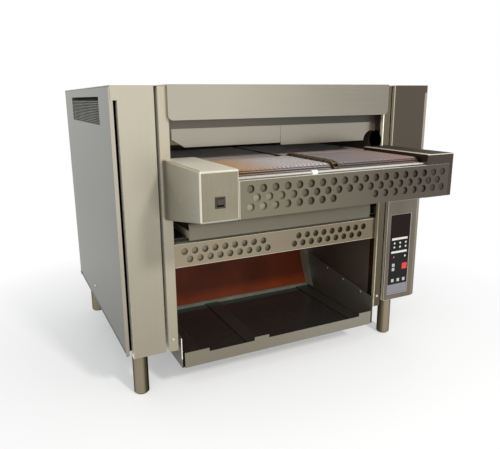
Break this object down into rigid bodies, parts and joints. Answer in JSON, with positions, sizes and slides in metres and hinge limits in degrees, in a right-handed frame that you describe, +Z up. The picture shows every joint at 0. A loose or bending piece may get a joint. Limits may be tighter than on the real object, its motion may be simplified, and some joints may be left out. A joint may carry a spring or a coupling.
{
  "type": "conveyor broiler",
  "caption": "Gas-fired conveyor broiler on tube legs: belt loader, height gates, broiling chamber, curved discharge chute, pan shelf and keypad.",
  "frame": {"origin": "on the floor under the middle of the overall box", "axes": "+Z up, front towards -Y, +X to the right as seen from the front"},
  "size_m": [0.9448, 0.997, 0.811],
  "materials": {
    "stainless": "brushed",
    "side_panel": "brushed, blue-grey",
    "dull_steel": "dull",
    "sooty_steel": "heat stained",
    "dark_paint": "satin",
    "screw_steel": "plain",
    "burner_steel": "heat stained",
    "gas_pipe": "satin",
    "valve_body": "cast",
    "igniter_rod": "matt",
    "belt_steel": "wire",
    "shaft_steel": "ground",
    "bearing_bronze": "plain",
    "motor_paint": "gloss",
    "black_plastic": "matt",
    "release_fabric": "smooth coated cloth",
    "bezel_paint": "satin",
    "keypad_black": "gloss",
    "display_glass": "tinted",
    "lamp_white": "gloss",
    "board_green": "matt",
    "gland_rubber": "matt",
    "key_white": "matt",
    "key_red": "matt"
  },
  "bodies": {
    "cabinet": {"base_frame": "dark_paint", "legs": "stainless", "left_side_panel": "side_panel", "right_side_panel": "side_panel", "roof_panel": "stainless", "back_panel": "stainless", "left_post": "stainless", "right_post": "stainless", "left_inner_wall": "sooty_steel", "right_inner_wall": "sooty_steel", "left_front_cover": "stainless", "right_front_cover": "stainless", "front_hood": "stainless", "vent_louvres": "dark_paint", "screws": "screw_steel", "chamber_liner": "sooty_steel", "upper_burners": "burner_steel", "lower_burners": "burner_steel", "gas_manifold": "gas_pipe", "gas_valve": "valve_body", "gas_inlet": "gas_pipe", "igniter": "igniter_rod", "broil_belts": "belt_steel", "shaft_bearings": "bearing_bronze", "drive_motor": "motor_paint", "loader_left_box": "stainless", "loader_right_box": "stainless", "loader_bed": "dull_steel", "nose_rod": "shaft_steel", "loader_guard": "stainless", "loader_belts": "belt_steel", "loader_chain": "belt_steel", "loader_motor": "motor_paint", "switch_housing": "black_plastic", "tray_runners": "dark_paint", "lower_guard": "stainless", "discharge_chute": "stainless", "release_sheet": "release_fabric", "pan_shelf": "dull_steel", "control_bezel": "bezel_paint", "keypad_plate": "keypad_black", "display_window": "display_glass", "indicator_lamps": "lamp_white", "control_board": "board_green", "cable_gland": "gland_rubber"},
    "left_gate": {"left_gate": "stainless"},
    "right_gate": {"right_gate": "stainless"},
    "crumb_tray": {"crumb_tray": "stainless"},
    "loader_front_shaft": {"loader_front_shaft": "shaft_steel"},
    "loader_rear_shaft": {"loader_rear_shaft": "shaft_steel"},
    "broil_front_shaft": {"broil_front_shaft": "shaft_steel"},
    "broil_rear_shaft": {"broil_rear_shaft": "shaft_steel"},
    "rocker_switch": {"rocker_switch": "black_plastic"},
    "up_key": {"up_key": "key_white"},
    "down_key": {"down_key": "key_white"},
    "stop_key": {"stop_key": "key_red"},
    "left_lane_key": {"left_lane_key": "key_white"},
    "both_lanes_key": {"both_lanes_key": "key_white"},
    "right_lane_key": {"right_lane_key": "key_white"}
  },
  "joints": [
    {"name": "left_gate_slide", "type": "slide", "parent": "cabinet", "child": "left_gate", "axis": [0, 0, 1], "range_m": [-0.006, 0.02]},
    {"name": "right_gate_slide", "type": "slide", "parent": "cabinet", "child": "right_gate", "axis": [0, 0, 1], "range_m": [0, 0.026]},
    {"name": "crumb_tray_slide", "type": "slide", "parent": "cabinet", "child": "crumb_tray", "axis": [0, -1, 0], "range_m": [0, 0.28]},
    {"name": "loader_front_spin", "type": "hinge", "parent": "cabinet", "child": "loader_front_shaft", "pos_m": [0, -0.4512, 0.6142], "axis": [1, 0, 0], "continuous": true},
    {"name": "loader_rear_spin", "type": "hinge", "parent": "cabinet", "child": "loader_rear_shaft", "pos_m": [0, -0.2715, 0.6142], "axis": [1, 0, 0], "continuous": true},
    {"name": "broil_rear_spin", "type": "hinge", "parent": "cabinet", "child": "broil_rear_shaft", "pos_m": [0, 0.0775, 0.6032], "axis": [1, 0, 0], "continuous": true},
    {"name": "broil_front_spin", "type": "hinge", "parent": "cabinet", "child": "broil_front_shaft", "pos_m": [0, -0.1955, 0.6032], "axis": [1, 0, 0], "continuous": true},
    {"name": "rocker_tilt", "type": "hinge", "parent": "cabinet", "child": "rocker_switch", "pos_m": [-0.3115, -0.4865, 0.574], "axis": [1, 0, 0], "range_deg": [0, 16]},
    {"name": "up_key_press", "type": "slide", "parent": "cabinet", "child": "up_key", "axis": [0, 1, 0], "range_m": [0, 0.0008], "stiffness_N_per_m": 600, "springref_m": -0.0004},
    {"name": "down_key_press", "type": "slide", "parent": "cabinet", "child": "down_key", "axis": [0, 1, 0], "range_m": [0, 0.0008], "stiffness_N_per_m": 600, "springref_m": -0.0004},
    {"name": "stop_key_press", "type": "slide", "parent": "cabinet", "child": "stop_key", "axis": [0, 1, 0], "range_m": [0, 0.0008], "stiffness_N_per_m": 600, "springref_m": -0.0004},
    {"name": "left_lane_key_press", "type": "slide", "parent": "cabinet", "child": "left_lane_key", "axis": [0, 1, 0], "range_m": [0, 0.0008], "stiffness_N_per_m": 600, "springref_m": -0.0004},
    {"name": "both_lanes_key_press", "type": "slide", "parent": "cabinet", "child": "both_lanes_key", "axis": [0, 1, 0], "range_m": [0, 0.0008], "stiffness_N_per_m": 600, "springref_m": -0.0004},
    {"name": "right_lane_key_press", "type": "slide", "parent": "cabinet", "child": "right_lane_key", "axis": [0, 1, 0], "range_m": [0, 0.0008], "stiffness_N_per_m": 600, "springref_m": -0.0004}
  ],
  "couplings": [
    {"joint": "loader_rear_spin", "follows": "loader_front_spin", "ratio": 1},
    {"joint": "broil_front_spin", "follows": "broil_rear_spin", "ratio": 1}
  ]
}
